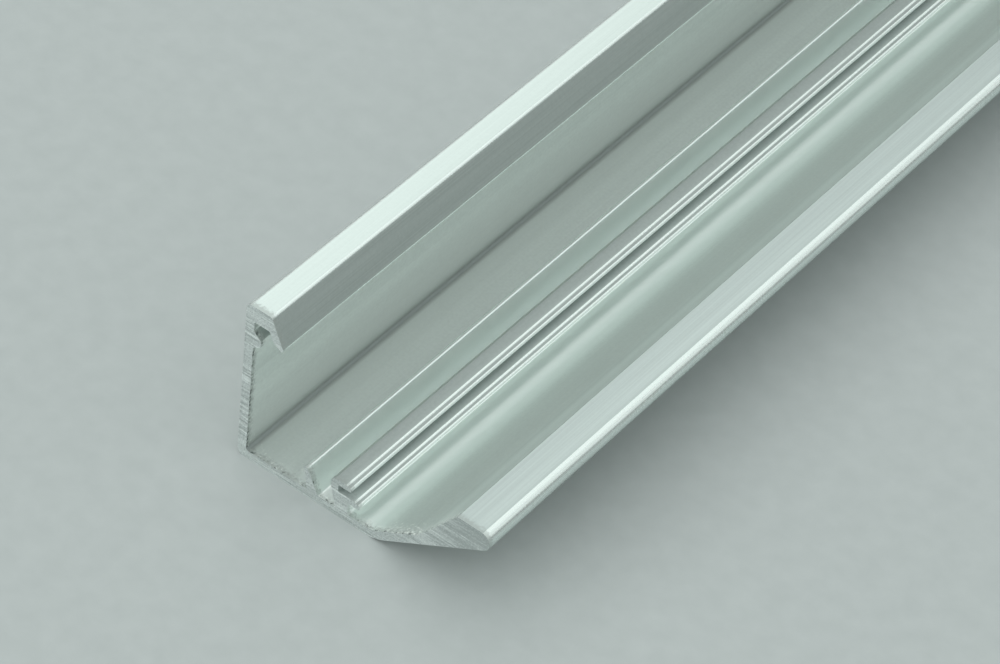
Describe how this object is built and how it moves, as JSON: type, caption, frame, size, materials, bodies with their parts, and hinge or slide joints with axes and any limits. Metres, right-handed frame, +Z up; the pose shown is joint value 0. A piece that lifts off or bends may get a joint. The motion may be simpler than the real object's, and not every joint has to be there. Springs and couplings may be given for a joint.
{
  "type": "aluminium extrusion profile",
  "caption": "Long extruded aluminium profile: upright wall with a hooked lip, flat base with a leaning fin and a slotted post, and a rising wing with a solid nose.",
  "frame": {"origin": "on the plane of the base's underside, below the middle of the bounding box", "axes": "+Y along the extruded length, away from the sawn end that the picture shows; +X from the upright wall towards the wing; +Z up, from the base towards the lip"},
  "size_m": [0.0312, 1, 0.021],
  "materials": {
    "mill_aluminium": "satin"
  },
  "bodies": {
    "root": {"extrusion_profile": "mill_aluminium"}
  },
  "joints": []
}
